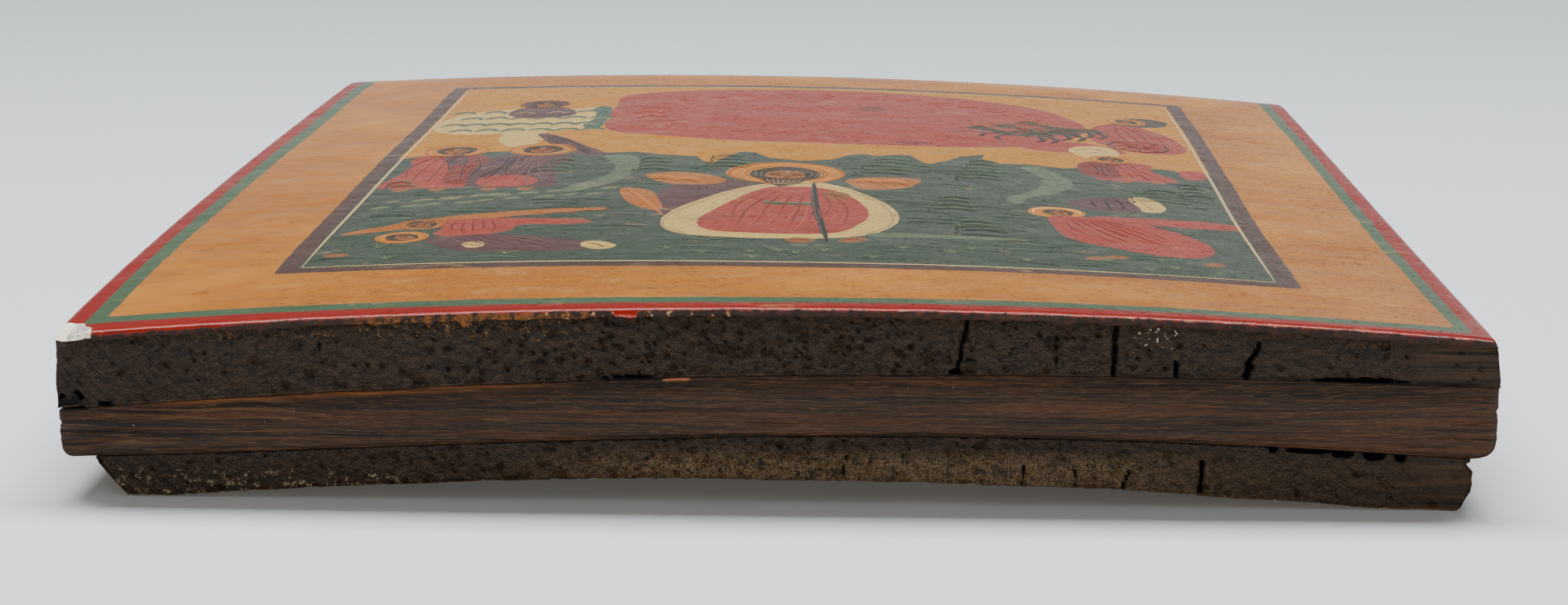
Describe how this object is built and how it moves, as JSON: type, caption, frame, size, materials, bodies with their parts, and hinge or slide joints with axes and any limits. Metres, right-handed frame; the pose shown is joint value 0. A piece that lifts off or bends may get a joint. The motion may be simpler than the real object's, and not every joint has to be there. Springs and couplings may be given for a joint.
{
  "type": "painted icon",
  "caption": "Old painted icon on a warped wooden board, with a tapered batten let into each end and a raised painted ground; lies on its back.",
  "frame": {"origin": "on the table under the middle of the board, as it lies on its back", "axes": "+Z comes out of the painted face, +Y runs along the board to the icon's upper end, +X to the right of the face"},
  "size_m": [0.268, 0.311, 0.0384],
  "materials": {
    "board_wood": "matte",
    "batten_wood": "matte",
    "painted_ground": "gloss"
  },
  "bodies": {
    "root": {"panel": "board_wood", "bottom_batten": "batten_wood", "top_batten": "batten_wood", "painted_gesso": "painted_ground"}
  },
  "joints": []
}
